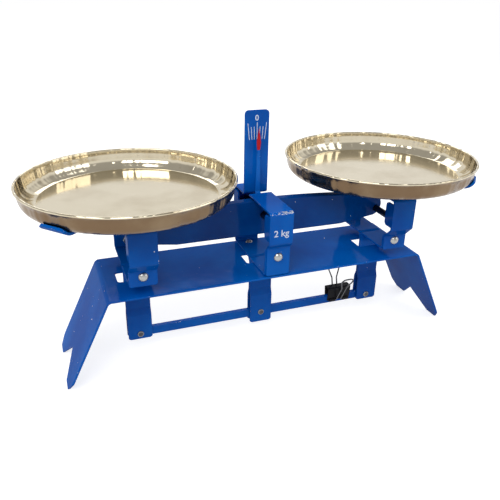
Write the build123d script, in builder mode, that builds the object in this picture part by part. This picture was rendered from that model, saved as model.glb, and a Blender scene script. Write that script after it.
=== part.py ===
from build123d import *
from math import acos, atan2, cos, radians, sin, tan
import os

os.makedirs("parts", exist_ok=True)

# Roberval balance in millimetres: X along the beam, Y to the back, Z up.
# The origin is on the ground at the centre of the base.

# Heights that end in _up are over the platform, those in _off over the end pivots of a lever

# Levers: beam and stay turn alike, each with its middle pivot a little above the end ones
arm = 132.0
edge_up = 45.0
pin_z = 25.0
middle_rise = 1.0

# Base: one strip bent down at both ends into splayed, notched legs
base_top = 91.0
base_t = 2.0
base_w = 93.3
base_bend = 4.0
fold_past_arm = 33.5
foot_past_arm = 77.6
notch_half = 24.0
notch_h = 20.8
toe_y = 7.0
toe_z = 9.0
slot_l = 38.0
slot_w = 22.0

# Straps: each has an ear, a web and a leg that hangs through a slot of the base
sheet_t = 2.0
sheet_bend = 1.5
ear_face = 44.5
ear_side_up = 28.0
ear_mid_up = 30.0
web_lift = 11.0
strap_w = 26.0
leg_w = 24.5
leg_gap = 0.3
jog_up = 37.0
jog_h = 7.0
leg_end_side = 19.0
leg_end_mid = 14.0
leg_corner = 1.5

# Posts of the pan carriers and the two uprights of the stand
post_w = 26.0
post_up = 69.0
post_step = 10.0
post_step_up = 26.0
post_flange = 12.0
stand_w = 24.3
stand_step = 5.0
stand_step_up = 31.0
stand_flange = 12.0
flange_margin = 3.0
tab_gap_mid = 1.0
bracket_reach = 6.0
dial_face = 19.0
dial_w = 25.6
dial_fold_up = 66.0
dial_up = 150.0
dial_corner = 4.0

# Beam: a pressed channel with an arched top and round ends
beam_w = 10.0
beam_wall = 2.5
beam_low_off = -17.0
beam_high_off = 20.0
beam_end_r = 12.5
beam_nose_in = 6.0
beam_nose_off = 0.5
beam_taper = 36.0

# Rods with knife edges, and the bearings they meet
rod_r = 3.5
knife_half = 30.0
groove_half = 55.0
knife_len = 9.5
rod_float = 2.0
bearing_w = 14.0
bearing_d = 8.0
bearing_h = 10.0
bearing_reach = 4.0
edge_gap = 0.03

# Pointer
pointer_t = 1.2
pointer_y = 13.0
pointer_top_off = 88.5
pointer_foot_w = 17.0
pointer_foot_low_off = -13.0
pointer_foot_top_off = 15.0
pointer_root_w = 6.0
pointer_neck_w = 2.7
arrow_w = 4.4
arrow_l = 22.0
arrow_wide = 8.0
pointer_bend = 2.0

# Stay and its pins
stay_h = 9.0
stay_t = 5.0
stay_side = 0.5
lower_pin_r = 2.5
pin_head_r = 3.4
pin_head_h = 1.2

# Rest under each pan: a strap that lies askew on the post and rises to the pan at both ends
rest_t = 2.5
rest_angle = 42.0
rest_w = 27.0
rest_plate_r = 28.0
rest_ramp_r = 50.0
rest_rise = 10.0
lip_shift = 0.8
lip_share = 0.7
lip_corner = 5.0

# Pans
pan_r = 100.0
pan_h = 19.0
pan_t = 0.9
pan_t_left = 0.9232
pan_base_r = 95.5
pan_round = 10.0
pan_bead_r = 1.3

# Fasteners
screw_r = 2.5
screw_up = 20.5
dome_r = 4.8
dome_h = 3.0
nut_flats = 8.0
nut_h = 4.0
thread_out = 1.5
web_screw_y = 36.0
web_screw_r = 2.0
web_head_r = 4.0
web_head_h = 2.4
web_nut_flats = 7.0
web_nut_h = 3.2
driver_slot = 1.0
rivet_r = 2.0
rivet_head_r = 3.4
rivet_head_h = 1.4
rivet_sink_r = 3.6
rest_rivet_y = 10.0
pointer_rivet_x = 5.0
pointer_rivet_off = -9.0
pointer_rivet_r = 1.5
pointer_rivet_head_r = 2.6
pointer_rivet_head_h = 1.0

# Binder clip on the stay
clip_x = 96.5
clip_l = 28.0
clip_t = 0.6
clip_low_off = -1.5
clip_h = 16.0
clip_half_top = 4.5
clip_bend = 1.2
wire_r = 0.8
barrel_r = 1.6
barrel_in = 4.6
barrel_out = 12.0
handle_neck = 2.9
handle_neck_h = 22.0
handle_wide = 6.8
handle_wide_h = 33.0
handle_l = 39.0
lean_front = 28.0
lean_rear = 14.0

# Clearances
run_fit = 0.05
pass_fit = 0.15
grip_fit = 0.05

edge_z = base_top + edge_up
fold_x = arm + fold_past_arm
foot_x = arm + foot_past_arm
beam_nose_x = arm - beam_nose_in
web_side = base_top + web_lift
ear_top_side = base_top + ear_side_up
ear_top_mid = base_top + ear_mid_up
jog_top = base_top - jog_up
jog_low = jog_top - jog_h
screw_z = base_top + screw_up
post_top = base_top + post_up
post_step_z = base_top + post_step_up
stand_step_z = base_top + stand_step_up
dial_fold_z = base_top + dial_fold_up
dial_top = base_top + dial_up
beam_low = edge_z + beam_low_off
beam_high = edge_z + beam_high_off
beam_nose_z = edge_z + beam_nose_off
pointer_top = edge_z + pointer_top_off
pointer_foot_low = edge_z + pointer_foot_low_off
pointer_foot_top = edge_z + pointer_foot_top_off
pointer_rivet_z = edge_z + pointer_rivet_off
arrow_low = pointer_top - arrow_l
clip_low = pin_z + clip_low_off
clip_high = clip_low + clip_h
tab_face = ear_face + sheet_t
leg_face_top = sheet_t + leg_gap
leg_face_low = stay_t / 2 + stay_side + sheet_t
post_face = tab_face + post_step
post_step_end = post_step_z + post_step
stand_face = tab_face + stand_step
stand_step_end = stand_step_z + stand_step
rest_top = post_top + rest_t
arm_low = post_top + rest_rise
seat_z = rest_top + rest_rise
mid_edge_z = edge_z + middle_rise
mid_pin_z = pin_z + middle_rise
mid_rod_z = mid_edge_z + rod_r
end_rod_z = edge_z - rod_r
end_rod_half = post_face - sheet_t - rod_float
mid_rod_half = stand_face - sheet_t - rod_float
pan_wall_r = pan_r - pan_bead_r
pan_wall_h = pan_h - pan_bead_r
pan_turn = atan2(pan_wall_h, pan_wall_r - pan_base_r)
jaw_face = stay_t / 2 + grip_fit
barrel_y = jaw_face + barrel_r + run_fit
barrel_z = clip_low + barrel_r / 3


def side_plane(x, side):
    """Plane across the beam at x: first axis away from the centre, second axis up."""
    return Plane((x, 0, 0), x_dir=(0, side, 0), z_dir=(side, 0, 0))


def front_plane(y):
    """Plane facing the viewer at y: first axis X, second axis Z."""
    return Plane((0, y, 0), x_dir=(1, 0, 0), z_dir=(0, -1, 0))


def strip(points, t, bend):
    """Corners and radii of a bent sheet whose right-hand face runs through points."""
    corners = [Vector(*point) for point in points]
    normals = []
    for start, end in zip(corners, corners[1:]):
        normals.append((end - start).rotate(Axis.Z, 90).normalized())
    other = [corners[0] + normals[0] * t]
    near_radii = [0]
    far_radii = [0]
    for i in range(1, len(corners) - 1):
        before = normals[i - 1]
        after = normals[i]
        other.append(corners[i] + (before + after) * (t / (1 + before.dot(after))))
        left_turn = before.cross(after).Z > 0
        near_radii.append(bend + t if left_turn else bend)
        far_radii.append(bend if left_turn else bend + t)
    other.append(corners[-1] + normals[-1] * t)
    near_radii.append(0)
    far_radii.append(0)
    return corners + other[::-1], near_radii + far_radii[::-1]


def strip_face(plane, points, t, bend):
    """Section of a bent sheet on a plane."""
    corners, radii = strip(points, t, bend)
    with BuildSketch(plane) as section:
        with BuildLine():
            FilletPolyline(*corners, radius=radii, close=True)
        make_face()
    return section.sketch


def save(part, name):
    part.label = name
    export_step(part, f"parts/{name}.step")


# Base platform
with BuildPart() as base:
    below = toe_z / base_top
    low_x = foot_x + (foot_x - fold_x) * below
    ends = [(low_x, -toe_z), (fold_x, base_top), (-fold_x, base_top), (-low_x, -toe_z)]
    extrude(strip_face(front_plane(0), ends, base_t, base_bend), amount=base_w / 2, both=True)
    with BuildSketch(side_plane(0, 1)):
        right = [
            (notch_half, 0),
            (base_w / 2 - toe_y, 0),
            (base_w / 2, toe_z),
            (base_w / 2, base_top + base_t),
        ]
        left = [(-y, z) for y, z in right[::-1]]
        with BuildLine():
            FilletPolyline(
                *left,
                (0, notch_h),
                *right,
                radius=[0, 5, 3, 3, 2.5, 3, 3, 5, 0],
                close=True,
            )
        make_face()
    extrude(amount=foot_x + base_t, both=True, mode=Mode.INTERSECT)
    with BuildSketch(Plane.XY.offset(base_top)):
        with GridLocations(arm, 0, 3, 1):
            RectangleRounded(slot_l, slot_w, 3)
        with GridLocations(0, 2 * web_screw_y, 1, 2):
            Circle(web_screw_r + pass_fit)
    extrude(amount=-2 * base_t, both=True, mode=Mode.SUBTRACT)
save(base.part, "base_platform")


def make_strap(x, side, web_z, ear_top, leg_end, hole_z, web_hole):
    """Ear, web and hanging leg of one strap, on the front (-1) or the back (+1)."""
    with BuildPart() as strap:
        points = [
            (leg_face_low, leg_end),
            (leg_face_low, jog_low),
            (leg_face_top, jog_top),
            (leg_face_top, web_z),
            (ear_face, web_z),
            (ear_face, ear_top),
        ]
        section = strip_face(side_plane(x, side), points, sheet_t, sheet_bend)
        extrude(section, amount=strap_w / 2, both=True)
        with BuildSketch(front_plane(0)):
            half = [
                (strap_w / 2, ear_top + sheet_t),
                (strap_w / 2, web_z - sheet_t),
                (leg_w / 2, web_z - 2 * sheet_t - 1),
                (leg_w / 2, leg_end + leg_corner),
                (leg_w / 2 - 1.5 * leg_corner, leg_end),
            ]
            outline = half + [(-px, pz) for px, pz in half[::-1]]
            with BuildLine():
                Polyline(*[(x + px, pz) for px, pz in outline], close=True)
            make_face()
        extrude(amount=ear_face + sheet_t, both=True, mode=Mode.INTERSECT)
        with BuildSketch(front_plane(0)):
            with Locations((x, screw_z)):
                Circle(screw_r + pass_fit)
            with Locations((x, hole_z)):
                Circle(lower_pin_r + run_fit)
        extrude(amount=ear_face + sheet_t, both=True, mode=Mode.SUBTRACT)
        if web_hole:
            with BuildSketch(Plane.XY.offset(web_z)):
                with Locations((x, side * web_screw_y)):
                    Circle(web_screw_r + pass_fit)
            extrude(amount=2 * sheet_t, both=True, mode=Mode.SUBTRACT)
        top = strap.edges().filter_by(Axis.Y).group_by(Axis.Z)[-1]
        fillet(top, 3)
    return strap.part


def make_flange(x_out, face, low, high, depth, side, turn):
    """Side flange of an upright, behind its plate, added to the part in progress."""
    with BuildSketch(side_plane(x_out, side)) as flange:
        with BuildLine():
            FilletPolyline(
                (face - sheet_t, low),
                (face - sheet_t, high),
                (face - sheet_t - depth, high),
                (face - sheet_t - depth, low),
                radius=[0, 0, depth / 3, depth / 3],
                close=True,
            )
        make_face()
    extrude(flange.sketch, amount=-turn * side * sheet_t)


def tab_hole(x, y):
    """Screw hole through a tab at y, cut from the part in progress."""
    with BuildSketch(front_plane(y)) as hole:
        with Locations((x, screw_z)):
            Circle(screw_r + pass_fit)
    extrude(hole.sketch, amount=3 * sheet_t, both=True, mode=Mode.SUBTRACT)


def make_post(x):
    """Inverted U of a pan carrier, with stepped tabs that lap the strap ears."""
    with BuildPart() as post:
        half = [
            (tab_face, web_side),
            (tab_face, post_step_z),
            (post_face, post_step_end),
            (post_face, post_top),
        ]
        points = half + [(-y, z) for y, z in half[::-1]]
        section = strip_face(side_plane(x, 1), points, sheet_t, sheet_bend)
        extrude(section, amount=post_w / 2, both=True)
        for side in (-1, 1):
            tab_hole(x, side * tab_face)
            for turn in (-1, 1):
                x_out = x + turn * post_w / 2
                low = post_step_end + flange_margin
                high = post_top - sheet_t - flange_margin
                make_flange(x_out, post_face, low, high, post_flange, side, turn)
        with BuildSketch(Plane.XY.offset(post_top)):
            with Locations((x, 0)):
                with GridLocations(0, 2 * rest_rivet_y, 1, 2):
                    Circle(rivet_r)
        extrude(amount=2 * sheet_t, both=True, mode=Mode.SUBTRACT)
        feet = post.edges().filter_by(Axis.Y).group_by(Axis.Z)[0]
        fillet(feet, 2)
    return post.part


# Front bracket of the stand, which carries the capacity face
with BuildPart() as bracket:
    path = [
        (tab_face, base_top + tab_gap_mid),
        (tab_face, stand_step_z),
        (stand_face, stand_step_end),
        (stand_face, post_top),
        (-bracket_reach, post_top),
    ]
    section = strip_face(side_plane(0, -1), path, sheet_t, sheet_bend)
    extrude(section, amount=stand_w / 2, both=True)
    tab_hole(0, -tab_face)
    for turn in (-1, 1):
        low = stand_step_end + flange_margin
        high = post_top - sheet_t - flange_margin
        make_flange(turn * stand_w / 2, stand_face, low, high, stand_flange, -1, turn)
    feet = bracket.edges().filter_by(Axis.Y).group_by(Axis.Z)[0]
    fillet(feet, 2)
save(bracket.part, "front_bracket")

# Rear upright of the stand, bent forward and up into the dial plate
with BuildPart() as upright:
    path = [
        (tab_face, base_top + tab_gap_mid),
        (tab_face, stand_step_z),
        (stand_face, stand_step_end),
        (stand_face, dial_fold_z),
        (dial_face + sheet_t, dial_fold_z),
        (dial_face + sheet_t, dial_top),
    ]
    section = strip_face(side_plane(0, 1), path, sheet_t, sheet_bend)
    extrude(section, amount=dial_w / 2, both=True)
    tab_hole(0, tab_face)
    for turn in (-1, 1):
        low = stand_step_end + flange_margin
        high = dial_fold_z - sheet_t - flange_margin
        make_flange(turn * dial_w / 2, stand_face, low, high, stand_flange, 1, turn)
    feet = upright.edges().filter_by(Axis.Y).group_by(Axis.Z)[0]
    fillet(feet, 2)
    crown = upright.edges().filter_by(Axis.Y).group_by(Axis.Z)[-1]
    fillet(crown, dial_corner)
save(upright.part, "dial_upright")


def make_bearings(x, z, face, opens):
    """Pair of blocks whose groove meets an edge at z and opens upward (+1) or downward (-1)."""
    apex = z - opens * edge_gap
    with BuildPart() as pair:
        for side in (-1, 1):
            with BuildSketch(front_plane(side * face)):
                rim = z + opens * bearing_reach
                back = rim - opens * bearing_h
                mouth = (rim - apex) * opens * tan(radians(groove_half))
                with BuildLine():
                    Polyline(
                        (x, apex),
                        (x + mouth, rim),
                        (x + bearing_w / 2, rim),
                        (x + bearing_w / 2, back),
                        (x - bearing_w / 2, back),
                        (x - bearing_w / 2, rim),
                        (x - mouth, rim),
                        close=True,
                    )
                make_face()
            extrude(amount=side * bearing_d)
    return pair.part


save(make_bearings(0, mid_edge_z, stand_face - sheet_t, 1), "fulcrum_bearings")


def make_rod(x, z, half, points):
    """Round rod whose ends are ground to an edge at z that points up (+1) or down (-1)."""
    with BuildPart() as rod:
        with BuildSketch(front_plane(0)):
            with Locations((x, z - points * rod_r)):
                Circle(rod_r)
        extrude(amount=half, both=True)
        for side in (-1, 1):
            with BuildSketch(front_plane(side * half)):
                rise = 2 * rod_r
                out = rise * tan(radians(knife_half))
                for turn in (-1, 1):
                    with BuildLine():
                        Polyline(
                            (x, z),
                            (x + turn * out, z - points * rise),
                            (x + turn * 2 * out, z),
                            close=True,
                        )
                    make_face()
            extrude(amount=side * knife_len, mode=Mode.SUBTRACT)
    return rod.part


with BuildPart() as end_rods:
    add(make_rod(-arm, edge_z, end_rod_half, 1))
    add(make_rod(arm, edge_z, end_rod_half, 1))
save(end_rods.part, "end_knife_rods")
save(make_rod(0, mid_edge_z, mid_rod_half, -1), "centre_knife_rod")

# Beam
with BuildPart() as beam:
    nose_top = beam_nose_z + beam_end_r
    nose_low = beam_nose_z - beam_end_r
    low_x = beam_nose_x - beam_taper
    with BuildSketch(front_plane(0)) as beam_side:
        with BuildLine():
            ThreePointArc((-beam_nose_x, nose_top), (0, beam_high), (beam_nose_x, nose_top))
            Polyline(
                (beam_nose_x, nose_top),
                (beam_nose_x, nose_low),
                (low_x, beam_low),
                (-low_x, beam_low),
                (-beam_nose_x, nose_low),
                (-beam_nose_x, nose_top),
            )
        make_face()
        with Locations((-beam_nose_x, beam_nose_z), (beam_nose_x, beam_nose_z)):
            Circle(beam_end_r)
    extrude(amount=beam_w / 2, both=True)
    with BuildSketch(front_plane(0)):
        add(beam_side.sketch)
        offset(amount=-beam_wall, mode=Mode.REPLACE)
        with Locations((0, beam_low)):
            Rectangle(2 * low_x, 4 * beam_wall)
    extrude(amount=beam_w / 2 - beam_wall, both=True, mode=Mode.SUBTRACT)
    with BuildSketch(front_plane(0)):
        with Locations((-arm, end_rod_z), (arm, end_rod_z), (0, mid_rod_z)):
            Circle(rod_r)
    extrude(amount=beam_w / 2, both=True, mode=Mode.SUBTRACT)
    with BuildSketch(front_plane(beam_w / 2)):
        with Locations((-pointer_rivet_x, pointer_rivet_z), (pointer_rivet_x, pointer_rivet_z)):
            Circle(pointer_rivet_r)
    extrude(amount=beam_wall, mode=Mode.SUBTRACT)
save(beam.part, "beam")

# Pointer
with BuildPart() as pointer:
    back = beam_w / 2
    path = [
        (back + pointer_t, pointer_foot_low),
        (back + pointer_t, pointer_foot_top),
        (pointer_y + pointer_t, pointer_foot_top + pointer_y - back),
        (pointer_y + pointer_t, pointer_top),
    ]
    section = strip_face(side_plane(0, 1), path, pointer_t, pointer_bend)
    extrude(section, amount=pointer_foot_w / 2, both=True)
    with BuildSketch(front_plane(0)):
        half = [
            (pointer_foot_w / 2, pointer_foot_low),
            (pointer_foot_w / 2, pointer_foot_top - pointer_root_w),
            (pointer_root_w / 2, pointer_foot_top),
            (pointer_neck_w / 2, arrow_low),
            (arrow_w / 2, arrow_low + arrow_wide),
        ]
        with BuildLine():
            Polyline(*half, (0, pointer_top), *[(-px, pz) for px, pz in half[::-1]], close=True)
        make_face()
    extrude(amount=pointer_y + 2 * pointer_t, both=True, mode=Mode.INTERSECT)
    with BuildSketch(front_plane(0)):
        with Locations((0, mid_rod_z)):
            Circle(rod_r + pass_fit)
        with Locations((-pointer_rivet_x, pointer_rivet_z), (pointer_rivet_x, pointer_rivet_z)):
            Circle(pointer_rivet_r)
    extrude(amount=pointer_y, both=True, mode=Mode.SUBTRACT)
    feet = pointer.edges().filter_by(Axis.Y).group_by(Axis.Z)[0]
    fillet(feet, 2)
save(pointer.part, "pointer")


def turned(plane, points):
    """Round piece on the second axis of plane, from radius and height pairs."""
    with BuildPart() as piece:
        with BuildSketch(plane):
            with BuildLine():
                Polyline(*points, close=True)
            make_face()
        revolve(axis=Axis(plane.origin, plane.y_dir))
    return piece.part


def across(x, y, z, side):
    """Plane at a point whose second axis runs along Y, away from the centre."""
    return Plane((x, y, z), x_dir=(1, 0, 0), z_dir=(0, 0, side))


def make_dome(plane, radius, height, stem_r, stem_l):
    """Domed head on the plane's origin with a stem on its far side."""
    sphere = (radius**2 + height**2) / (2 * height)
    reach = acos((sphere - height) / sphere) / 2
    middle = (sphere * sin(reach), sphere * cos(reach) - sphere + height)
    with BuildPart() as screw:
        with BuildSketch(plane):
            with BuildLine():
                Line((0, -stem_l), (stem_r, -stem_l))
                Line((stem_r, -stem_l), (stem_r, 0))
                Line((stem_r, 0), (radius, 0))
                ThreePointArc((radius, 0), middle, (0, height))
                Line((0, height), (0, -stem_l))
            make_face()
        revolve(axis=Axis(plane.origin, plane.y_dir))
    return screw.part


def make_side_screws(x):
    """Front and rear domed screws that clamp a tab to its ear."""
    with BuildPart() as pair:
        for side in (-1, 1):
            stem = 2 * sheet_t + nut_h + thread_out
            plane = across(x, side * tab_face, screw_z, side)
            add(make_dome(plane, dome_r, dome_h, screw_r, stem))
    return pair.part


def make_side_nuts(x):
    """Nuts of the domed screws, against the inside of the ears."""
    with BuildPart() as pair:
        for side in (-1, 1):
            with BuildSketch(front_plane(side * (ear_face - sheet_t))):
                with Locations((x, screw_z)):
                    RegularPolygon(nut_flats / 2, 6, major_radius=False)
                    Circle(screw_r + run_fit, mode=Mode.SUBTRACT)
            extrude(amount=side * nut_h)
    return pair.part


# Screws and nuts that hold the fixed straps down on the base
with BuildPart() as web_screws:
    for side in (-1, 1):
        top = Plane((0, side * web_screw_y, base_top + sheet_t), x_dir=(1, 0, 0), z_dir=(0, -1, 0))
        stem = sheet_t + base_t + web_nut_h + thread_out
        add(make_dome(top, web_head_r, web_head_h, web_screw_r, stem))
        with BuildSketch(Plane.XY.offset(base_top + sheet_t + web_head_h / 2)):
            with Locations((0, side * web_screw_y)):
                Rectangle(3 * web_head_r, driver_slot)
        extrude(amount=web_head_h, mode=Mode.SUBTRACT)
save(web_screws.part, "strap_screws")

with BuildPart() as web_nuts:
    with BuildSketch(Plane.XY.offset(base_top - base_t)):
        with GridLocations(0, 2 * web_screw_y, 1, 2):
            RegularPolygon(web_nut_flats / 2, 6, major_radius=False)
            Circle(web_screw_r + run_fit, mode=Mode.SUBTRACT)
    extrude(amount=-web_nut_h)
save(web_nuts.part, "strap_nuts")


def make_pin(x, z):
    """Headed pin through both legs of a station and the stay."""
    points = [
        (0, leg_face_low + pin_head_h),
        (pin_head_r - pin_head_h / 2, leg_face_low + pin_head_h),
        (pin_head_r, leg_face_low + pin_head_h / 2),
        (pin_head_r, leg_face_low),
        (lower_pin_r, leg_face_low),
    ]
    return turned(across(x, 0, z, 1), points + [(r, -h) for r, h in points[::-1]])


# Stay
with BuildPart() as stay:
    with BuildSketch(front_plane(0)):
        with Locations((0, pin_z)):
            SlotCenterToCenter(2 * arm, stay_h)
        with Locations((-arm, pin_z), (0, mid_pin_z), (arm, pin_z)):
            Circle(lower_pin_r + run_fit, mode=Mode.SUBTRACT)
    extrude(amount=stay_t / 2, both=True)
save(stay.part, "stay_bar")


def make_rest(x, turn):
    """Strap under a pan, turned by its angle to one side, with ends that hug the pan's foot."""
    foot_r = pan_base_r - pan_round * tan(pan_turn / 2) + lip_shift
    hug_r = pan_round + rest_t
    swing = lip_share * pan_turn
    lip_rise = hug_r * (1 - cos(swing))
    corner_r = foot_r + hug_r * tan(swing / 2)
    end_r = foot_r + hug_r * sin(swing)
    half = [
        (rest_plate_r, post_top),
        (rest_ramp_r, arm_low),
        (corner_r, arm_low),
        (end_r + 1, arm_low + lip_rise + tan(swing)),
    ]
    points = [(-r, z) for r, z in half[::-1]] + half
    with BuildPart() as strap:
        flat = Vector(1, 0, 0).rotate(Axis.Z, turn * rest_angle)
        plane = Plane((x, 0, 0), x_dir=flat, z_dir=flat.rotate(Axis.Z, -90))
        section = strip_face(plane, points, rest_t, hug_r - rest_t)
        extrude(section, amount=rest_w / 2, both=True)
        raised = strap.edges().filter_by(lambda edge: edge.center().Z > arm_low + lip_rise / 2)
        corners = raised.filter_by(lambda edge: abs(edge.length - rest_t) < 0.01)
        fillet(corners, min(lip_corner, 0.9 * lip_rise))
        with Locations((x, rest_rivet_y, rest_top), (x, -rest_rivet_y, rest_top)):
            CounterSinkHole(rivet_r, rivet_sink_r, depth=2 * rest_t, counter_sink_angle=90)
    return strap.part


def make_rest_rivets(x):
    """Rivets that hold a rest on its post, flush on top so that the pan sits flat."""
    under = post_top - sheet_t
    points = [
        (0, rest_top),
        (rivet_sink_r, rest_top),
        (rivet_r, rest_top - rivet_sink_r + rivet_r),
        (rivet_r, under),
        (rivet_head_r, under),
        (rivet_head_r - rivet_head_h / 2, under - rivet_head_h),
        (0, under - rivet_head_h),
    ]
    with BuildPart() as pair:
        for side in (-1, 1):
            place = Plane((x, side * rest_rivet_y, 0), x_dir=(1, 0, 0), z_dir=(0, -1, 0))
            add(turned(place, points))
    return pair.part


def make_pan(x, t):
    """Spun pan with a rounded foot and a rolled rim."""
    with BuildPart() as pan:
        points = [
            (0, seat_z),
            (pan_base_r, seat_z),
            (pan_wall_r, seat_z + pan_wall_h),
        ]
        with BuildSketch(Plane((x, 0, 0), x_dir=(1, 0, 0), z_dir=(0, -1, 0))):
            add(strip_face(Plane.XY, points, t, pan_round - t))
            with Locations((pan_wall_r, seat_z + pan_wall_h)):
                Circle(pan_bead_r)
        revolve(axis=Axis((x, 0, 0), (0, 0, 1)))
    return pan.part


for name, side in (("front", -1), ("rear", 1)):
    strap = make_strap(0, side, base_top, ear_top_mid, leg_end_mid, mid_pin_z, True)
    save(strap, f"fixed_strap_{name}")
save(make_side_screws(0), "stand_screws")
save(make_side_nuts(0), "stand_nuts")
save(make_pin(0, mid_pin_z), "fulcrum_pin")

for name, x, turn, t in (("left", -arm, 1, pan_t_left), ("right", arm, -1, pan_t)):
    save(make_post(x), f"{name}_post")
    for end, side in (("front", -1), ("rear", 1)):
        strap = make_strap(x, side, web_side, ear_top_side, leg_end_side, pin_z, False)
        save(strap, f"{name}_strap_{end}")
    save(make_side_screws(x), f"{name}_screws")
    save(make_side_nuts(x), f"{name}_nuts")
    save(make_bearings(x, edge_z, post_face - sheet_t, -1), f"{name}_bearings")
    save(make_pin(x, pin_z), f"{name}_pin")
    save(make_rest(x, turn), f"{name}_rest")
    save(make_rest_rivets(x), f"{name}_rest_rivets")
    save(make_pan(x, t), f"{name}_pan")

# Rivets of the pointer
with BuildPart() as pointer_rivets:
    back = beam_w / 2
    outside = back + pointer_t
    inside = back - beam_wall
    points = [
        (0, outside + pointer_rivet_head_h),
        (pointer_rivet_head_r - pointer_rivet_head_h / 2, outside + pointer_rivet_head_h),
        (pointer_rivet_head_r, outside),
        (pointer_rivet_r, outside),
        (pointer_rivet_r, inside),
        (pointer_rivet_head_r, inside),
        (pointer_rivet_head_r - pointer_rivet_head_h / 2, inside - pointer_rivet_head_h),
        (0, inside - pointer_rivet_head_h),
    ]
    for turn in (-1, 1):
        add(turned(across(turn * pointer_rivet_x, 0, pointer_rivet_z, 1), points))
save(pointer_rivets.part, "pointer_rivets")

# Binder clip
with BuildPart() as clip:
    path = [
        (-jaw_face, clip_low),
        (-clip_half_top, clip_high),
        (clip_half_top, clip_high),
        (jaw_face, clip_low),
    ]
    section = strip_face(side_plane(clip_x, 1), path, clip_t, clip_bend)
    extrude(section, amount=clip_l / 2, both=True)
    for side in (-1, 1):
        for turn in (-1, 1):
            with BuildSketch(side_plane(clip_x + turn * barrel_in, turn)):
                with Locations((turn * side * barrel_y, barrel_z)):
                    Circle(barrel_r)
            extrude(amount=barrel_out - barrel_in)
            with BuildSketch(side_plane(clip_x + turn * barrel_in, turn)):
                with Locations((turn * side * barrel_y, barrel_z)):
                    Circle(wire_r + run_fit)
            extrude(amount=barrel_out - barrel_in, mode=Mode.SUBTRACT)
save(clip.part, "clip_body")


def make_handle(side, lean):
    """Wire handle of the clip, leaning out from upright by an angle in degrees."""
    along = (0, side * sin(radians(lean)), cos(radians(lean)))
    across_wire = (0, -cos(radians(lean)), side * sin(radians(lean)))
    plane = Plane((clip_x, side * barrel_y, barrel_z), x_dir=(1, 0, 0), z_dir=across_wire)
    half = [
        (barrel_out - run_fit, 0),
        (handle_neck, 0),
        (handle_neck, handle_neck_h),
        (handle_wide, handle_wide_h),
        (handle_wide, handle_l),
    ]
    with BuildPart() as handle:
        with BuildLine(plane) as path:
            points = half + [(-px, pz) for px, pz in half[::-1]]
            FilletPolyline(*points, radius=[1.3, 5, 5, 5, 5, 5, 5, 1.3])
        with BuildSketch(Plane(path.line @ 0, z_dir=path.line % 0)):
            Circle(wire_r)
        sweep()
    return handle.part


save(make_handle(-1, lean_front), "clip_handle_front")
save(make_handle(1, lean_rear), "clip_handle_rear")
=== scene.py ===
"""Looks of a roberval balance: painted sheet metal, polished brass pans, bright screws, dial and clip."""

import logging
import math
from dataclasses import dataclass, field
from enum import Enum
from typing import Callable

import bmesh
import bpy
from mathutils import Matrix, Vector

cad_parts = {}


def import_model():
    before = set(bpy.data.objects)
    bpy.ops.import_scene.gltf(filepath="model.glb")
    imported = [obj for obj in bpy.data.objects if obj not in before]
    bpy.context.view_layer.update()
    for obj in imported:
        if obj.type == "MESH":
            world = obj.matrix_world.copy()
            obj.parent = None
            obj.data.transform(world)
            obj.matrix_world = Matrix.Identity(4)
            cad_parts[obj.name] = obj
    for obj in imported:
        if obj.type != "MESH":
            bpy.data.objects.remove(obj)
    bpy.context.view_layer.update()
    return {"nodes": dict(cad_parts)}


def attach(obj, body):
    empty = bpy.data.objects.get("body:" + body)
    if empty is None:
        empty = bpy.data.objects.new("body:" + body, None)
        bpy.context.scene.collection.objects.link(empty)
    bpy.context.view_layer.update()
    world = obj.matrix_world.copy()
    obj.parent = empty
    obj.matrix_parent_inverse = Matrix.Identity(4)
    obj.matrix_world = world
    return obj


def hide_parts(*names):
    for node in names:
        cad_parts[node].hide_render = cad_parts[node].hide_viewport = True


LOG = logging.getLogger("balance")
Color = tuple[float, float, float]
Noise = tuple[float, float]
Socket = bpy.types.NodeSocket

Object = bpy.types.Object
BMesh = bmesh.types.BMesh
Edge = bmesh.types.BMEdge
Layer = bmesh.types.BMLayerItem

CORNER = math.radians(32)
FLAT = math.radians(0.6)
WELD = 0.000002
MIX_FIRST, MIX_SECOND, MIX_RESULT = 6, 7, 2
WHITE = (1.0, 1.0, 1.0, 1.0)


class Body(Enum):
    """Bodies of the mechanism that a piece can ride on."""

    STAND = "stand"
    BEAM = "beam"
    LEFT_CARRIER = "left_carrier"
    RIGHT_CARRIER = "right_carrier"
    LEFT_PAN = "left_pan"
    RIGHT_PAN = "right_pan"
    STAY = "stay"
    CLIP = "clip"
    CLIP_FRONT_HANDLE = "clip_front_handle"
    CLIP_REAR_HANDLE = "clip_rear_handle"


class Slot(Enum):
    """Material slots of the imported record."""

    PAINT = "blue_paint"
    POINTER = "pointer_paint"
    BRASS = "brass"
    SCREWS = "bright_screws"
    STEEL = "plain_steel"
    HARD = "hard_steel"
    ENAMEL = "black_enamel"
    WIRE = "black_wire"


class Side(Enum):
    """Ends of the beam, with the place of each along X in metres."""

    LEFT = -0.132
    RIGHT = 0.132


# Nodes and finishes


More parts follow.
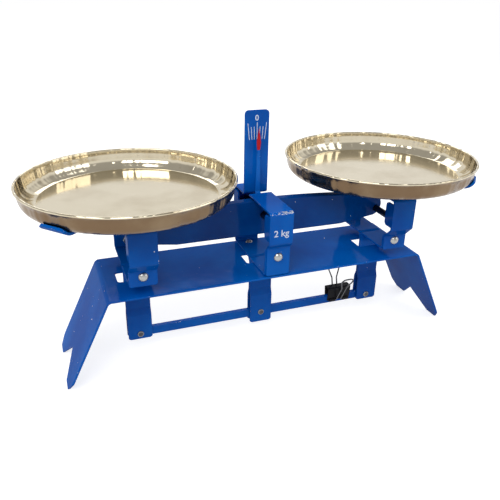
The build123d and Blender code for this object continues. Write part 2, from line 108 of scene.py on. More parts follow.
class Graph:
    """One material's nodes, with a Principled shader at the end."""

    def __init__(self, name: str) -> None:
        """Start an empty material.

        Args:
            name: Name of the material.
        """
        self.material = bpy.data.materials.new(name)
        self.material.use_nodes = True
        self.nodes = self.material.node_tree.nodes
        self.nodes.clear()
        self.shader = self.nodes.new("ShaderNodeBsdfPrincipled")
        self.output = self.nodes.new("ShaderNodeOutputMaterial")
        self.link(self.shader.outputs[0], self.output.inputs[0])
        self.place = self.nodes.new("ShaderNodeTexCoord").outputs["Object"]

    def link(self, start: Socket, end: Socket) -> None:
        """Join two sockets."""
        self.material.node_tree.links.new(start, end)

    def feed(self, socket: Socket, value: object) -> None:
        """Link or set a socket.

        Args:
            socket: Input that takes the value.
            value: Another node's output, or a plain value.
        """
        if isinstance(value, bpy.types.NodeSocket):
            self.link(value, socket)
        elif isinstance(value, tuple) and len(value) == 3 and socket.type == "RGBA":
            socket.default_value = (*value, 1.0)
        else:
            socket.default_value = value

    def math(self, operation: str, first: object, second: object = 0.0, clamp: bool = False) -> Socket:
        """Arithmetic on one or two numbers.

        Args:
            operation: Name of the operation.
            first: First number or output.
            second: Second number or output.
            clamp: Whether the result stays between 0 and 1.

        Returns:
            The result's output.
        """
        node = self.nodes.new("ShaderNodeMath")
        node.operation = operation
        node.use_clamp = clamp
        self.feed(node.inputs[0], first)
        self.feed(node.inputs[1], second)
        return node.outputs[0]

    def vector(self, operation: str, first: object, second: object = (0.0, 0.0, 0.0)) -> bpy.types.Node:
        """Arithmetic on vectors.

        Args:
            operation: Name of the operation.
            first: First vector or output.
            second: Second vector or output, or a number for a scale.

        Returns:
            The node, whose outputs are a vector and a value.
        """
        node = self.nodes.new("ShaderNodeVectorMath")
        node.operation = operation
        self.feed(node.inputs[0], first)
        self.feed(node.inputs["Scale" if operation == "SCALE" else 1], second)
        return node

    def noise(self, kind: Noise, where: object = None, stretch: Color = (1, 1, 1)) -> Socket:
        """Noise between 0 and 1.

        Args:
            kind: Features per metre, and number of finer layers.
            where: Coordinates, or the object's own.
            stretch: Factors on the coordinates before the noise.

        Returns:
            The noise value.
        """
        mapping = self.nodes.new("ShaderNodeMapping")
        self.feed(mapping.inputs["Vector"], where or self.place)
        mapping.inputs["Scale"].default_value = stretch
        node = self.nodes.new("ShaderNodeTexNoise")
        node.inputs["Scale"].default_value, node.inputs["Detail"].default_value = kind
        self.link(mapping.outputs[0], node.inputs["Vector"])
        return node.outputs["Fac"]

    def window(self, value: Socket, low: float, high: float) -> Socket:
        """Rise from 0 to 1 as the value goes from low to high.

        Args:
            value: Number to map.
            low: Value that gives 0.
            high: Value that gives 1.

        Returns:
            The mapped value.
        """
        node = self.nodes.new("ShaderNodeMapRange")
        node.interpolation_type = "SMOOTHSTEP"
        self.feed(node.inputs["Value"], value)
        node.inputs["From Min"].default_value = low
        node.inputs["From Max"].default_value = high
        return node.outputs["Result"]

    def span(self, value: Socket, low: float, high: float) -> Socket:
        """Map 0 to 1 onto low to high."""
        node = self.nodes.new("ShaderNodeMapRange")
        self.feed(node.inputs["Value"], value)
        node.inputs["To Min"].default_value = low
        node.inputs["To Max"].default_value = high
        return node.outputs["Result"]

    def mix(self, factor: object, first: object, second: object) -> Socket:
        """Blend of two colours.

        Args:
            factor: How much of the second colour.
            first: First colour or output.
            second: Second colour or output.

        Returns:
            The blended colour.
        """
        node = self.nodes.new("ShaderNodeMix")
        node.data_type = "RGBA"
        self.feed(node.inputs[0], factor)
        self.feed(node.inputs[MIX_FIRST], first)
        self.feed(node.inputs[MIX_SECOND], second)
        return node.outputs[MIX_RESULT]

    def attribute(self, name: str) -> Socket:
        """Number that a mesh carries on its faces or points."""
        node = self.nodes.new("ShaderNodeAttribute")
        node.attribute_name = name
        return node.outputs["Fac"]

    def height(self) -> Socket:
        """Height over the table in metres."""
        node = self.nodes.new("ShaderNodeSeparateXYZ")
        self.link(self.place, node.inputs[0])
        return node.outputs["Z"]

    def bump(self, height: Socket, depth: float, before: Socket | None = None) -> Socket:
        """Relief on the surface.

        Args:
            height: Relief between 0 and 1.
            depth: Full depth in metres.
            before: Relief that this one is added to.

        Returns:
            The normal.
        """
        node = self.nodes.new("ShaderNodeBump")
        node.inputs["Distance"].default_value = depth
        self.link(height, node.inputs["Height"])
        if before is not None:
            self.link(before, node.inputs["Normal"])
        return node.outputs[0]

    def finish(self, **inputs: object) -> bpy.types.Material:
        """Feed the shader and give back the material.

        Args:
            **inputs: Shader inputs by name, with underscores for spaces.

        Returns:
            The material.
        """
        for name, value in inputs.items():
            self.feed(self.shader.inputs[name.replace("_", " ")], value)
        return self.material


@dataclass(frozen=True)
class PaintFinish:
    """Glossy enamel on sheet steel, chipped to bare metal where edges rub.

    Each noise is a pair of features per metre and finer layers, and each depth is in metres.
    """

    name: str
    color: Color
    deep: Color
    bare: Color = (0.62, 0.64, 0.66)
    gloss: float = 0.2
    lacquer: float = 0.16
    chipping: float = 0.5
    tip: Color | None = None
    tip_from: float = 0.0
    tip_blend: float = 0.0003
    drift: Noise = (14.0, 4.0)
    mottle: Noise = (160.0, 3.0)
    grain: Noise = (800.0, 6.0)
    patches: Noise = (60.0, 2.0)
    pits: Noise = (330.0, 1.0)
    dust: Noise = (2200.0, 2.0)
    sheen: Noise = (45.0, 4.0)
    peel: Noise = (650.0, 2.0)
    sag: Noise = (70.0, 1.0)
    peel_depth: float = 0.00003
    sag_depth: float = 0.00022
    chip_depth: float = 0.00008

    def colors(self, g: Graph) -> Socket:
        """Colour of the whole enamel, deeper in clouds and spots.

        Args:
            g: Nodes of the material.

        Returns:
            The colour.
        """
        clouds = g.window(g.noise(self.drift), 0.35, 0.7)
        spots = g.math("MULTIPLY", g.window(g.noise(self.mottle), 0.5, 0.8), 0.25)
        color = g.mix(spots, g.mix(clouds, self.color, self.deep), self.deep)
        if self.tip is not None:
            on_tip = g.window(g.height(), self.tip_from, self.tip_from + self.tip_blend)
            color = g.mix(on_tip, color, self.tip)
        return color

    def chips(self, g: Graph) -> Socket:
        """Where the enamel is gone: on rubbed faces, and in a few pits.

        Args:
            g: Nodes of the material.

        Returns:
            1 on bare metal.
        """
        grain = g.math("ADD", g.noise(self.grain), g.math("MULTIPLY", g.noise(self.patches), 0.55))
        worn = g.math("MULTIPLY", g.attribute("rub"), self.chipping)
        bite = g.math("SUBTRACT", grain, g.math("SUBTRACT", 1.0 + self.chipping, worn))
        pits = g.window(g.noise(self.pits), 0.80, 0.81)
        return g.math("MAXIMUM", g.window(bite, 0.0, 0.02), pits)

    def material(self) -> bpy.types.Material:
        """Build the enamel's nodes.

        Returns:
            The material.
        """
        g = Graph(self.name)
        chip = self.chips(g)
        sheen = g.span(g.noise(self.sheen), self.gloss * 0.7, self.gloss * 1.5)
        dust = g.window(g.noise(self.dust), 0.66, 0.74)
        rough = g.math("ADD", sheen, g.math("MULTIPLY", dust, 0.18))
        peel = g.bump(g.noise(self.peel), self.peel_depth)
        sag = g.bump(g.noise(self.sag), self.sag_depth, peel)
        return g.finish(
            Base_Color=g.mix(chip, self.colors(g), self.bare),
            Metallic=chip,
            Roughness=g.math("ADD", rough, g.math("MULTIPLY", chip, 0.2), clamp=True),
            Normal=g.bump(g.math("SUBTRACT", 1.0, chip), self.chip_depth, sag),
            Specular_IOR_Level=0.0,
            Coat_Weight=self.lacquer,
            Coat_Roughness=0.1,
            Coat_Normal=sag,
        )


@dataclass(frozen=True)
class SteelFinish:
    """Drawn or plated steel with fine scratches and duller spots."""

    name: str
    color: Color
    dull: Color
    gloss: float
    grain: Color = (1.0, 1.0, 1.0)
    rubbed: Color = (0.8, 0.8, 0.8)
    scratches: Noise = (900.0, 3.0)
    spots: Noise = (260.0, 4.0)
    scratch_depth: float = 0.000012

    def material(self) -> bpy.types.Material:
        """Build the steel's nodes.

        Returns:
            The material.
        """
        g = Graph(self.name)
        scratch = g.noise(self.scratches, stretch=self.grain)
        spots = g.window(g.noise(self.spots), 0.52, 0.7)
        color = g.mix(g.math("MULTIPLY", spots, 0.6), self.color, self.dull)
        color = g.mix(g.math("MULTIPLY", g.attribute("rub"), 0.25), color, self.rubbed)
        sheen = g.span(scratch, self.gloss * 0.6, self.gloss * 1.4)
        rough = g.math("ADD", sheen, g.math("MULTIPLY", spots, 0.12), clamp=True)
        normal = g.bump(scratch, self.scratch_depth)
        return g.finish(Base_Color=color, Metallic=1.0, Roughness=rough, Normal=normal)


@dataclass(frozen=True)
class BrassFinish:
    """Spun and polished brass, paler inside; the outside is painted dark brown as painted reflection of
    dark surroundings.

    The rings lie in lathe coordinates, the bands in the heading from the pan's middle; the bands ripple the
    wall and also darken it as painted reflection bands.
    """

    name: str
    centre: tuple[float, float, float]
    inside: Color = (0.68, 0.61, 0.465)
    tarnish: Color = (0.43, 0.345, 0.22)
    # painted reflection: this dark brown on outer and under faces stands in for the dark surroundings
    # mirrored there
    outside: Color = (0.17, 0.112, 0.066)
    # painted reflection: darker colour laid in bands on the wall, standing in for reflected bands
    painted_reflection_band: Color = (0.34, 0.27, 0.17)
    gloss: float = 0.11
    rings_per_metre: float = 400.0
    ring_drift: float = 1.6
    wall_from: float = 0.082
    wall_full: float = 0.094
    rings: Noise = (4.0, 4.0)
    clouds: Noise = (22.0, 5.0)
    bands: Noise = (2.2, 3.0)
    spots: Noise = (240.0, 3.0)
    waves: Noise = (26.0, 1.0)
    ring_depth: float = 0.000006
    wave_depth: float = 0.0003
    band_depth: float = 0.012

    def material(self) -> bpy.types.Material:
        """Build the brass nodes, with lathe rings about the pan's middle.

        Returns:
            The material.
        """
        g = Graph(self.name)
        local = g.vector("SUBTRACT", g.place, self.centre).outputs[0]
        flat = g.vector("MULTIPLY", local, (1.0, 1.0, 0.0))
        ray = g.vector("LENGTH", flat.outputs[0]).outputs["Value"]
        heading = g.vector("NORMALIZE", flat.outputs[0]).outputs[0]
        lathe = g.nodes.new("ShaderNodeCombineXYZ")
        g.feed(lathe.inputs["Z"], g.math("MULTIPLY", ray, self.rings_per_metre))
        swept = g.vector("SCALE", heading, self.ring_drift).outputs[0]
        rings = g.noise(self.rings, where=g.vector("ADD", swept, lathe.outputs[0]).outputs[0])
        cloud = g.window(g.noise(self.clouds, where=local), 0.42, 0.72)
        bands = g.noise(self.bands, where=heading)
        wall = g.window(ray, self.wall_from, self.wall_full)
        spots = g.window(g.noise(self.spots, where=local), 0.68, 0.78)
        # painted reflection bands on the wall, from the heading noise
        reflection_band_share = g.math("MULTIPLY", g.window(bands, 0.5, 0.62), wall)
        outer = g.attribute("outer")
        color = g.mix(g.math("MULTIPLY", cloud, 0.35), self.inside, self.tarnish)
        color = g.mix(g.math("MULTIPLY", spots, 0.5), color, self.tarnish)
        color = g.mix(g.math("MULTIPLY", reflection_band_share, 0.55), color, self.painted_reflection_band)
        # painted reflection: outer and under faces are darkened to the outside colour
        outside_painted_reflection = g.mix(g.math("MULTIPLY", cloud, 0.3), self.outside, self.tarnish)
        sheen = g.span(rings, self.gloss * 0.7, self.gloss * 1.5)
        rough = g.math("ADD", sheen, g.math("MULTIPLY", spots, 0.15))
        normal = g.bump(rings, self.ring_depth)
        normal = g.bump(g.noise(self.waves, where=local), self.wave_depth, normal)
        return g.finish(
            Base_Color=g.mix(outer, color, outside_painted_reflection),
            Metallic=1.0,
            Roughness=g.math("ADD", rough, g.math("MULTIPLY", outer, 0.12), clamp=True),
            Normal=g.bump(g.math("MULTIPLY", bands, wall), self.band_depth, normal),
        )


@dataclass(frozen=True)
class MarkFinish:
    """White marking paint, a little worn."""

    name: str
    color: Color = (0.66, 0.72, 0.84)
    worn: Color = (0.28, 0.40, 0.62)
    grain: Noise = (1500.0, 4.0)
    depth: float = 0.00002

    def material(self) -> bpy.types.Material:
        """Build the marking paint's nodes.

        Returns:
            The material.
        """
        g = Graph(self.name)
        grain = g.noise(self.grain)
        color = g.mix(g.window(grain, 0.58, 0.75), self.color, self.worn)
        rough = g.span(grain, 0.35, 0.6)
        return g.finish(Base_Color=color, Roughness=rough, Normal=g.bump(grain, self.depth))


# Mesh building


def dress(piece: Object, body: Body, material: bpy.types.Material) -> Object:
    """Give a piece its finish and the body it rides on.

    Args:
        piece: Piece, in place.
        body: Body that carries it.
        material: Its finish.

    Returns:
        The piece.
    """
    piece.data.materials.clear()
    piece.data.materials.append(material)
    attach(piece, body.value)
    return piece


def as_piece(name: str, bm: BMesh, sharp: float = 42.0, weighted: bool = True) -> Object:
    """Turn a bmesh into a smooth shaded object at the origin.

    Args:
        name: Name of the piece.
        bm: Finished shape, which is freed.
        sharp: Angle in degrees over which an edge stays sharp.
        weighted: Whether large faces lead the shading.

    Returns:
        The new object.
    """
    mesh = bpy.data.meshes.new(name)
    bm.to_mesh(mesh)
    bm.free()
    mesh.shade_smooth()
    mesh.set_sharp_from_angle(angle=math.radians(sharp))
    piece = bpy.data.objects.new(name, mesh)
    bpy.context.scene.collection.objects.link(piece)
    if weighted:
        modifier = piece.modifiers.new("even_shading", "WEIGHTED_NORMAL")
        modifier.keep_sharp = True
    return piece


def sharp_edges(bm: BMesh) -> list[Edge]:
    """Edges of a shape that turn by more than a corner does."""
    return [edge for edge in bm.edges if edge.is_manifold and edge.calc_face_angle(0.0) > CORNER]


def worn_faces(bm: BMesh, edges: list[Edge], radius: float, segments: int, rub: Layer) -> None:
    """Round edges and mark the new faces as rubbed.

    Args:
        bm: Shape to change.
        edges: Edges to round.
        radius: Radius in metres.
        segments: Faces across each rounding.
        rub: Layer that holds how much a face is rubbed.
    """
    made = bmesh.ops.bevel(
        bm,
        geom=edges,
        offset=radius,
        offset_type="OFFSET",
        segments=segments,
        profile=0.5,
        affect="EDGES",
        clamp_overlap=False,
        loop_slide=False,
        material=-1,
    )
    narrow = radius < 0.001
    for face in made["faces"]:
        face[rub] = 1.0 if narrow else 0.6


def softened(
    node: Object,
    name: str,
    radius: float,
    worn_bends: float = 0.0,
    worn_over: float = 0.0,
    wide: float = 0.0,
    takes_wide: Callable[[Edge], bool] | None = None,
) -> Object:
    """Copy a CAD node with its loose triangles joined and its edges rounded.

    Args:
        node: CAD node to copy.
        name: Name of the new piece.
        radius: Radius of the rounded edges in metres.
        worn_bends: How much the bends are rubbed, where the rounded edges have 1.
        worn_over: Height in metres over which they are.
        wide: Larger radius for some of the edges.
        takes_wide: Tells which edges get it.

    Returns:
        The new piece, which carries how much each face is rubbed.
    """
    bm = bmesh.new()
    bm.from_mesh(node.data)
    bmesh.ops.remove_doubles(bm, verts=bm.verts, dist=2 * WELD)
    bmesh.ops.dissolve_limit(bm, angle_limit=FLAT, verts=bm.verts, edges=bm.edges)
    rub = bm.faces.layers.float.new("rub")
    if worn_bends > 0.0:
        for face in bm.faces:
            slanted = sorted(abs(axis) for axis in face.normal)[1] > 0.25
            small = face.calc_area() < 0.0004
            if slanted and small and face.calc_center_median().z > worn_over:
                face[rub] = worn_bends
    corners = sharp_edges(bm)
    broad = [edge for edge in corners if takes_wide is not None and takes_wide(edge)]
    if broad:
        worn_faces(bm, broad, wide, 5, rub)
        corners = sharp_edges(bm)
    if radius > 0.0:
        worn_faces(bm, corners, radius, 3, rub)
    return as_piece(name, bm)


def spun(name: str, outline: list[tuple[float, float]], origin: Vector, steps: int) -> BMesh:
    """Turn an outline of radius and height pairs about an upright axis.

    Args:
        name: Name of the shape, for messages.
        outline: Open outline from axis to axis.
        origin: Point where height and radius are zero.
        steps: Number of steps round.

    Returns:
        The closed shape.
    """
    bm = bmesh.new()
    points = [bm.verts.new((radius, 0.0, height)) for radius, height in outline]
    edges = [bm.edges.new(pair) for pair in zip(points, points[1:])]
    bmesh.ops.spin(
        bm,
        geom=points + edges,
        cent=(0, 0, 0),
        axis=(0, 0, 1),
        angle=math.tau,
        steps=steps,
        use_merge=True,
        use_duplicate=False,
    )
    bmesh.ops.remove_doubles(bm, verts=bm.verts, dist=WELD)
    bmesh.ops.recalc_face_normals(bm, faces=bm.faces)
    bmesh.ops.transform(bm, matrix=Matrix.Translation(origin), verts=bm.verts)
    LOG.debug("%s has %d faces", name, len(bm.faces))
    return bm


def lettering(name: str, words: str, size: float, centre: Vector, lift: float) -> Object:
    """Raised flat characters that face the viewer.

    Args:
        name: Name of the piece.
        words: Characters to set.
        size: Height of the type in metres.
        centre: Middle of the characters.
        lift: Thickness of the paint in metres.

    Returns:
        The characters as a mesh.
    """
    curve = bpy.data.curves.new(name + "_type", "FONT")
    curve.body = words
    curve.size = size
    curve.extrude = lift / 2
    curve.offset = size * 0.012
    curve.align_x = "CENTER"
    curve.align_y = "CENTER"
    carrier = bpy.data.objects.new(name + "_type", curve)
    bpy.context.scene.collection.objects.link(carrier)
    bpy.context.view_layer.update()
    mesh = bpy.data.meshes.new_from_object(carrier.evaluated_get(bpy.context.evaluated_depsgraph_get()))
    bpy.data.objects.remove(carrier)
    bm = bmesh.new()
    bm.from_mesh(mesh)
    bpy.data.meshes.remove(mesh)
    bmesh.ops.remove_doubles(bm, verts=bm.verts, dist=0.000001)
    placing = Matrix.Translation(centre) @ Matrix.Rotation(math.radians(90), 4, "X")
    bmesh.ops.transform(bm, matrix=placing, verts=bm.verts)
    return as_piece(name, bm, sharp=30.0, weighted=False)


# Sub-assemblies


@dataclass
class Finishes:
    """All finishes of the balance, each made once."""

    paint: PaintFinish = PaintFinish("blue_enamel", (0.001, 0.115, 0.50), (0.001, 0.070, 0.37))
    # painted shade: a darker copy of the blue enamel for the beam, which sits in shade under the pans
    beam: PaintFinish = PaintFinish("beam_enamel_painted_shade", (0.001, 0.072, 0.32), (0.002, 0.042, 0.22))
    pointer: PaintFinish = PaintFinish(
        "pointer_enamel", (0.006, 0.14, 0.55), (0.004, 0.09, 0.42), tip=(0.48, 0.014, 0.02), tip_from=0.2025
    )
    enamel: PaintFinish = PaintFinish(
        "black_enamel", (0.012, 0.012, 0.014), (0.02, 0.02, 0.022), gloss=0.25, chipping=0.6
    )
    screws: SteelFinish = SteelFinish("nickel_plate", (0.40, 0.40, 0.39), (0.27, 0.26, 0.24), 0.26)
    steel: SteelFinish = SteelFinish("plain_steel", (0.46, 0.46, 0.47), (0.26, 0.24, 0.22), 0.3)
    hard: SteelFinish = SteelFinish(
        "hardened_steel", (0.075, 0.075, 0.085), (0.04, 0.036, 0.036), 0.3, (1.0, 0.05, 1.0)
    )
    wire: SteelFinish = SteelFinish("black_wire", (0.09, 0.09, 0.095), (0.05, 0.045, 0.04), 0.22)
    marks: MarkFinish = MarkFinish("white_marks")
    made: dict[str, bpy.types.Material] = field(default_factory=dict)

    def get(self, finish: PaintFinish | SteelFinish | BrassFinish | MarkFinish) -> bpy.types.Material:
        """Material of a finish, built at its first use."""
        if finish.name not in self.made:
            self.made[finish.name] = finish.material()
        return self.made[finish.name]


@dataclass
class SheetMetal:
    """Painted sheets of the base, straps, posts, pan rests, bracket, upright and stay."""

    edge: float = 0.0004
    frame: tuple[str, ...] = (
        "base_platform",
        "fixed_strap_front",
        "fixed_strap_rear",
        "front_bracket",
        "dial_upright",
    )
    worn: dict[str, tuple[float, float]] = field(default_factory=lambda: {"front_bracket": (1.38, 0.15)})
    station: tuple[str, ...] = ("post", "strap_front", "strap_rear", "rest", "rest_rivets")

    def build(self, nodes: dict[str, Object], finishes: Finishes) -> None:
        """Round, paint and mount every sheet.

        Args:
            nodes: CAD nodes by name.
            finishes: Finishes of the balance.
        """
        plan = [(name, Body.STAND, self.edge) for name in self.frame]
        plan += [("left_" + name, Body.LEFT_CARRIER, self.edge) for name in self.station]
        plan += [("right_" + name, Body.RIGHT_CARRIER, self.edge) for name in self.station]
        plan += [("stay_bar", Body.STAY, self.edge)]
        for name, body, edge in plan:
            piece = softened(nodes[name], name + "_sheet", edge, *self.worn.get(name, (0.7, 0.0)))
            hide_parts(name)
            dress(piece, body, finishes.get(finishes.paint))
            LOG.info("%s: %d faces", piece.name, len(piece.data.polygons))


@dataclass
class Beam:
    """Pressed beam with well rounded outer edges."""

    half_w: float = 0.005
    round_r: float = 0.0014
    edge: float = 0.0004
    holes: tuple[tuple[float, float, float], ...] = (
        (-0.132, 0.1325, 0.0043),
        (0.132, 0.1325, 0.0043),
        (0.0, 0.1405, 0.0043),
        (-0.005, 0.127, 0.0022),
        (0.005, 0.127, 0.0022),
    )

    def outer(self, edge: Edge) -> bool:
        """Whether an edge runs round the outside of the beam.

        Args:
            edge: Edge to judge.

        Returns:
            True on the outer faces, away from the holes.
        """
        if any(abs(abs(vert.co.y) - self.half_w) > 0.00002 for vert in edge.verts):
            return False
        middle = (edge.verts[0].co + edge.verts[1].co) / 2
        return all(math.hypot(middle.x - x, middle.z - z) > r for x, z, r in self.holes)

    def build(self, nodes: dict[str, Object], finishes: Finishes) -> None:
        """Round, paint and mount the beam.

        Args:
            nodes: CAD nodes by name.
            finishes: Finishes of the balance.
        """
        beam = nodes["beam"]
        piece = softened(beam, "beam_sheet", self.edge, 0.7, wide=self.round_r, takes_wide=self.outer)
        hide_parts("beam")
        # painted shade: the beam takes the darker copy of the blue enamel
        dress(piece, Body.BEAM, finishes.get(finishes.beam))
        LOG.info("%s: %d faces", piece.name, len(piece.data.polygons))


@dataclass
class Pans:
    """Two spun brass pans that lift off."""

    seat: float = 0.1725
    base_r: float = 0.0955
    wall_r: float = 0.09867
    wall_h: float = 0.0177
    round_r: float = 0.010
    bead_r: float = 0.0013
    sheet: dict[Side, float] = field(default_factory=lambda: {Side.LEFT: 0.0009232, Side.RIGHT: 0.0009})
    steps: int = 160
    bend_steps: int = 12
    bead_from: float = 200.0
    bead_turn: float = 220.0

    def face(self, inset: float) -> list[tuple[float, float]]:
        """One face of the sheet from the middle to the rim.

        Args:
            inset: Distance from the outer face.

        Returns:
            Radius and height pairs over the seat.
        """
        turn = math.atan2(self.wall_h, self.wall_r - self.base_r)
        tangent = self.base_r - self.round_r * math.tan(turn / 2)
        flat = [0.0, 0.02, 0.045, 0.07, tangent - 0.004, tangent - 0.001]
        points = [(r, inset) for r in flat]
        bend = self.round_r - inset
        for i in range(self.bend_steps + 1):
            angle = turn * i / self.bend_steps
            points.append((tangent + bend * math.sin(angle), self.round_r - bend * math.cos(angle)))
        top = (self.wall_r - inset * math.sin(turn), self.wall_h + inset * math.cos(turn))
        last = points[-1]
        for share in (0.1, 0.5, 0.82):
            points.append((last[0] + (top[0] - last[0]) * share, last[1] + (top[1] - last[1]) * share))
        return points

    def outline(self, sheet: float) -> list[tuple[float, float]]:
        """Whole section of a pan, up the inside, over the bead and down the outside."""
        rise = math.atan2(self.wall_h, self.wall_r - self.base_r)
        inner = self.face(sheet)
        outer = self.face(0.0)
        bead = []
        for i in range(self.bend_steps + 1):
            angle = math.radians(self.bead_from - self.bead_turn * i / self.bend_steps) + rise - math.pi / 2
            out, up = math.cos(angle), math.sin(angle)
            bead.append((self.wall_r + self.bead_r * out, self.wall_h + self.bead_r * up))
        return inner + bead + outer[::-1]

    def build(self, finishes: Finishes) -> None:
        """Spin, finish and mount both pans.

        Args:
            finishes: Finishes of the balance.
        """
        for side, body in ((Side.LEFT, Body.LEFT_PAN), (Side.RIGHT, Body.RIGHT_PAN)):
            name = side.name.lower() + "_pan"
            origin = Vector((side.value, 0.0, self.seat))
            bm = spun(name, self.outline(self.sheet[side]), origin, self.steps)
            # the outer layer marks faces that face out or down, which the brass paints dark as painted
            # reflection
            outer = bm.faces.layers.float.new("outer")
            for face in bm.faces:
                middle = face.calc_center_median() - origin
                away = face.normal.dot(Vector((middle.x, middle.y, 0)).normalized())
                under = face.normal.z < -0.3
                face[outer] = 1.0 if under or (away > 0.2 and middle.z < self.wall_h - 0.0008) else 0.0
            piece = as_piece(name + "_brass", bm, sharp=60.0, weighted=False)
            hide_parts(name)
            brass = BrassFinish(name + "_brass", (side.value, 0.0, self.seat))
            dress(piece, body, finishes.get(brass))
            LOG.info("%s: %d faces", piece.name, len(piece.data.polygons))


@dataclass
class Fittings:
    """Screws, nuts, pins, rods, bearings, rivets and the clip, with rounded edges."""

    edge: float = 0.00035

    def plan(self) -> list[tuple[str, Body, Slot, float]]:
        """Every fitting with its body, slot and edge radius.

        Returns:
            Rows of node name, body, slot and radius.
        """
        rows = [
            ("stand_screws", Body.STAND, Slot.SCREWS, 0.0),
            ("strap_screws", Body.STAND, Slot.SCREWS, 0.00015),
            ("strap_nuts", Body.STAND, Slot.STEEL, self.edge),
            ("stand_nuts", Body.STAND, Slot.STEEL, self.edge),
            ("fulcrum_bearings", Body.STAND, Slot.HARD, self.edge),
            ("fulcrum_pin", Body.STAND, Slot.HARD, self.edge),
            ("centre_knife_rod", Body.BEAM, Slot.HARD, 0.0),
            ("end_knife_rods", Body.BEAM, Slot.HARD, 0.0),
            ("pointer", Body.BEAM, Slot.POINTER, 0.0002),
            ("pointer_rivets", Body.BEAM, Slot.STEEL, 0.0002),
            ("clip_body", Body.CLIP, Slot.ENAMEL, 0.0001),
            ("clip_handle_front", Body.CLIP_FRONT_HANDLE, Slot.WIRE, 0.0),
            ("clip_handle_rear", Body.CLIP_REAR_HANDLE, Slot.WIRE, 0.0),
        ]
        for side, body in (("left", Body.LEFT_CARRIER), ("right", Body.RIGHT_CARRIER)):
            rows += [
                (side + "_screws", body, Slot.SCREWS, 0.0),
                (side + "_nuts", body, Slot.STEEL, self.edge),
                (side + "_bearings", body, Slot.HARD, self.edge),
                (side + "_pin", body, Slot.HARD, self.edge),
            ]
        return rows

    def build(self, nodes: dict[str, Object], finishes: Finishes) -> None:
        """Round, finish and mount every fitting.

        Args:
            nodes: CAD nodes by name.
            finishes: Finishes of the balance.
        """
        of_slot = {
            Slot.SCREWS: finishes.screws,
            Slot.STEEL: finishes.steel,
            Slot.HARD: finishes.hard,
            Slot.POINTER: finishes.pointer,
            Slot.ENAMEL: finishes.enamel,
            Slot.WIRE: finishes.wire,
        }
        for name, body, slot, edge in self.plan():
            piece = softened(nodes[name], name + "_fine", edge)
            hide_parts(name)
            dress(piece, body, finishes.get(of_slot[slot]))
            LOG.info("%s: %d faces", piece.name, len(piece.data.polygons))


@dataclass
class DialMarks:
    """Fan of white lines and a zero on the dial plate, and the load on the bracket."""

    plate_y: float = 0.019
    bracket_y: float = -0.0515
    paint: float = 0.00012
    line_w: float = 0.0006
    fan_foot: Vector = field(default_factory=lambda: Vector((0.0, 0.0, 0.137)))
    lines: int = 7
    spread: float = 6.15
    low_r: float = 0.0752
    high_r: float = 0.0878
    longer: float = 0.0042
    zero_h: float = 0.0078
    zero_place: tuple[float, float] = (-0.0004, 0.2332)
    load_h: float = 0.0092
    load_place: tuple[float, float] = (0.0, 0.1385)

    def build(self, finishes: Finishes) -> None:
        """Paint the marks.

        Args:
            finishes: Finishes of the balance.
        """
        bm = bmesh.new()
        for i in range(self.lines):
            step = 2 * i / (self.lines - 1) - 1
            angle = math.radians(step * self.spread)
            long = i in (0, self.lines // 2, self.lines - 1)
            low = self.low_r
            high = self.high_r + (self.longer if long else 0.0)
            away = Vector((math.sin(angle), 0, math.cos(angle)))
            on_plate = Vector((0, self.plate_y - self.paint / 2, 0))
            middle = self.fan_foot + away * (low + high) / 2 + on_plate
            shape = Matrix.Diagonal((self.line_w, self.paint, high - low, 1))
            place = Matrix.Translation(middle) @ Matrix.Rotation(angle, 4, "Y") @ shape
            made = bmesh.ops.create_cube(bm, size=1.0, matrix=place)
            edges = {edge for vert in made["verts"] for edge in vert.link_edges}
            spans = {edge: abs((edge.verts[0].co - edge.verts[1].co).y) for edge in edges}
            through = [edge for edge, span in spans.items() if span > self.paint / 2]
            bmesh.ops.bevel(
                bm,
                geom=through,
                offset=self.line_w * 0.4,
                segments=3,
                profile=0.5,
                affect="EDGES",
                material=-1,
            )
        fan = as_piece("dial_lines", bm, weighted=False)
        sink = Vector((0, -self.paint / 2, 0))
        x, z = self.zero_place
        zero = lettering("dial_zero", "0", self.zero_h, Vector((x, self.plate_y, z)) + sink, self.paint)
        x, z = self.load_place
        on_bracket = Vector((x, self.bracket_y, z)) + sink
        load = lettering("load_figure", "2 kg", self.load_h, on_bracket, self.paint)
        for piece in (fan, zero, load):
            dress(piece, Body.STAND, finishes.get(finishes.marks))
            LOG.info("%s: %d faces", piece.name, len(piece.data.polygons))


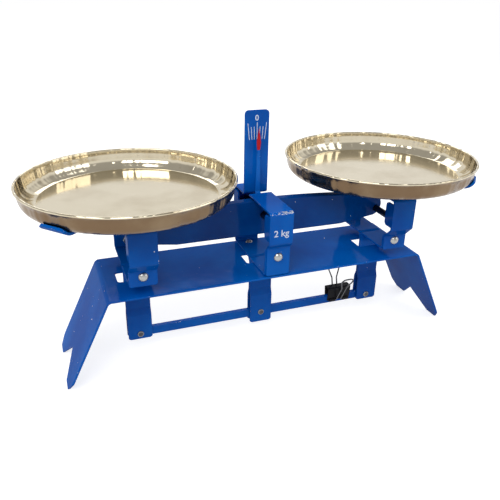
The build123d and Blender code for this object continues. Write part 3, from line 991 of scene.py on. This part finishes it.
@dataclass
class Studio:
    """Pale floor, soft lamps and the camera."""

    focal_px: float = 576.1
    frame_px: float = 500.0
    eye: Vector = field(default_factory=lambda: Vector((-0.20547, -0.50943, 0.35565)))
    yaw: float = 20.78
    pitch: float = 25.11
    roll: float = 1.16
    sensor: float = 36.0
    floor_size: float = 60.0
    floor_grey: Color = (0.55, 0.55, 0.55)
    floor_glow: float = 0.7
    world_level: float = 0.55
    sky_low: float = 0.30
    sky_high: float = 0.62
    sky_level: float = 0.45
    aim: Vector = field(default_factory=lambda: Vector((0, 0, 0.12)))

    def camera(self) -> None:
        """Place the camera where the photograph was taken from."""
        yaw, pitch, roll = (math.radians(v) for v in (self.yaw, self.pitch, self.roll))
        ahead = Vector((math.sin(yaw) * math.cos(pitch), math.cos(yaw) * math.cos(pitch), -math.sin(pitch)))
        right = Vector((math.cos(yaw), -math.sin(yaw), 0))
        up = right.cross(ahead)
        across = right * math.cos(roll) + up * math.sin(roll)
        above = -right * math.sin(roll) + up * math.cos(roll)
        data = bpy.data.cameras.new("camera")
        data.lens = self.focal_px * self.sensor / self.frame_px
        data.sensor_width = self.sensor
        data.clip_start = 0.01
        data.clip_end = 100.0
        camera = bpy.data.objects.new("camera", data)
        bpy.context.scene.collection.objects.link(camera)
        turn = Matrix((across, above, -ahead)).transposed().to_4x4()
        camera.matrix_world = Matrix.Translation(self.eye) @ turn
        bpy.context.scene.camera = camera

    def seen(self, tree: bpy.types.NodeTree) -> Socket:
        """Find the rays that see the white background, straight or in metal and glass.

        Args:
            tree: Nodes of the floor or the world.

        Returns:
            1 on those rays.
        """
        path = tree.nodes.new("ShaderNodeLightPath")
        found = path.outputs["Is Camera Ray"]
        for name in ("Is Glossy Ray", "Is Transmission Ray"):
            either = tree.nodes.new("ShaderNodeMath")
            either.operation = "MAXIMUM"
            tree.links.new(found, either.inputs[0])
            tree.links.new(path.outputs[name], either.inputs[1])
            found = either.outputs[0]
        return found

    def floor(self) -> None:
        """Lay a pale floor that reads white and keeps the shadow."""
        bm = bmesh.new()
        bmesh.ops.create_grid(bm, x_segments=4, y_segments=4, size=self.floor_size / 2)
        piece = as_piece("floor", bm, weighted=False)
        material = bpy.data.materials.new("floor")
        material.use_nodes = True
        nodes, links = material.node_tree.nodes, material.node_tree.links
        nodes.clear()
        diffuse = nodes.new("ShaderNodeBsdfDiffuse")
        diffuse.inputs["Color"].default_value = (*self.floor_grey, 1.0)
        glow = nodes.new("ShaderNodeEmission")
        glow.inputs["Color"].default_value = WHITE
        level = nodes.new("ShaderNodeMath")
        level.operation = "MULTIPLY"
        level.inputs[1].default_value = self.floor_glow
        links.new(self.seen(material.node_tree), level.inputs[0])
        links.new(level.outputs[0], glow.inputs["Strength"])
        both = nodes.new("ShaderNodeAddShader")
        links.new(diffuse.outputs[0], both.inputs[0])
        links.new(glow.outputs[0], both.inputs[1])
        output = nodes.new("ShaderNodeOutputMaterial")
        links.new(both.outputs[0], output.inputs[0])
        piece.data.materials.append(material)

    def lamp(self, name: str, place: Vector, size: tuple[float, float], power: float) -> None:
        """Hang one soft lamp that faces the balance.

        Args:
            name: Name of the lamp.
            place: Its middle.
            size: Its width and height.
            power: Its power in watts.
        """
        data = bpy.data.lights.new(name, "AREA")
        data.shape = "RECTANGLE"
        data.size, data.size_y = size
        data.energy = power
        lamp = bpy.data.objects.new(name, data)
        bpy.context.scene.collection.objects.link(lamp)
        turn = (self.aim - place).to_track_quat("-Z", "Y")
        lamp.matrix_world = Matrix.Translation(place) @ turn.to_matrix().to_4x4()

    def world(self) -> None:
        """Surround the scene with even pale light, and show mirrors a sky that dims upwards."""
        world = bpy.data.worlds.new("studio")
        world.use_nodes = True
        nodes, links = world.node_tree.nodes, world.node_tree.links
        nodes.clear()
        place = nodes.new("ShaderNodeTexCoord")
        axes = nodes.new("ShaderNodeSeparateXYZ")
        links.new(place.outputs["Generated"], axes.inputs[0])
        sky = nodes.new("ShaderNodeMapRange")
        sky.interpolation_type = "SMOOTHSTEP"
        sky.inputs["From Min"].default_value = self.sky_low
        sky.inputs["From Max"].default_value = self.sky_high
        sky.inputs["To Min"].default_value = 1.0
        sky.inputs["To Max"].default_value = self.sky_level
        links.new(axes.outputs["Z"], sky.inputs["Value"])
        level = nodes.new("ShaderNodeMapRange")
        level.inputs["To Min"].default_value = self.world_level
        links.new(self.seen(world.node_tree), level.inputs["Value"])
        links.new(sky.outputs["Result"], level.inputs["To Max"])
        background = nodes.new("ShaderNodeBackground")
        background.inputs["Color"].default_value = WHITE
        links.new(level.outputs["Result"], background.inputs["Strength"])
        output = nodes.new("ShaderNodeOutputWorld")
        links.new(background.outputs[0], output.inputs[0])
        bpy.context.scene.world = world

    def build(self) -> None:
        """Set up floor, lamps, world and camera."""
        self.camera()
        self.floor()
        self.lamp("key", Vector((-0.9, -1.0, 1.5)), (1.3, 0.9), 17.0)
        self.lamp("fill", Vector((1.3, -0.7, 1.1)), (0.9, 1.3), 7.0)
        self.lamp("back", Vector((0.2, 1.4, 1.3)), (1.8, 0.7), 9.0)
        self.world()
        bpy.context.scene.view_settings.view_transform = "Standard"


def main() -> None:
    """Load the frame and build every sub-assembly."""
    logging.basicConfig(level=logging.INFO, format="%(message)s")
    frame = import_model()
    finishes = Finishes()
    Studio().build()
    SheetMetal().build(frame["nodes"], finishes)
    Beam().build(frame["nodes"], finishes)
    Pans().build(finishes)
    Fittings().build(frame["nodes"], finishes)
    DialMarks().build(finishes)


if __name__ == "__main__":
    main()
